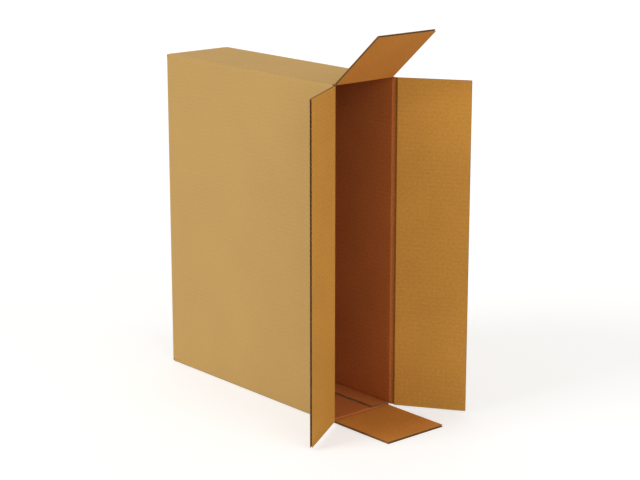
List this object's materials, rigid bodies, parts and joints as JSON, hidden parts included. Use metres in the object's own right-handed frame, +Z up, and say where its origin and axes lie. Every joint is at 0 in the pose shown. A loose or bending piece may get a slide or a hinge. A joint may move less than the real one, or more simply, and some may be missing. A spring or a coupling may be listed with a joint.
{
  "type": "side-loading moving box",
  "caption": "Tall narrow corrugated carton on its side, glued shut at one end and open at the other, with a hinged flap on each edge of the mouth.",
  "frame": {"origin": "middle of the bottom panel's outer face, on the surface that the carton stands on", "axes": "+X out of the open end, +Z up along the tall opening, +Y across the narrow width towards the wall with the glue tab"},
  "size_m": [0.6209, 0.3349, 0.7034],
  "materials": {
    "carton_board": "unprinted kraft liner, matte",
    "flap_board": "unprinted kraft liner, matte"
  },
  "bodies": {
    "carton": {"carton": "carton_board"},
    "near_flap": {"near_flap": "flap_board"},
    "far_flap": {"far_flap": "flap_board"},
    "top_flap": {"top_flap": "flap_board"},
    "bottom_flap": {"bottom_flap": "flap_board"}
  },
  "joints": [
    {"name": "near_flap_fold", "type": "hinge", "parent": "carton", "child": "near_flap", "pos_m": [0.2393, -0.07165, 0.305], "axis": [0, 0, 1], "range_deg": [-122, 148]},
    {"name": "far_flap_fold", "type": "hinge", "parent": "carton", "child": "far_flap", "pos_m": [0.2436, 0.07165, 0.305], "axis": [0, 0, -1], "range_deg": [-146, 124]},
    {"name": "top_flap_fold", "type": "hinge", "parent": "carton", "child": "top_flap", "pos_m": [0.235, 0, 0.61015], "axis": [0, 1, 0], "range_deg": [-139, 131]},
    {"name": "bottom_flap_fold", "type": "hinge", "parent": "carton", "child": "bottom_flap", "pos_m": [0.235, 0, -0.00015], "axis": [0, -1, 0], "range_deg": [0, 90]}
  ]
}
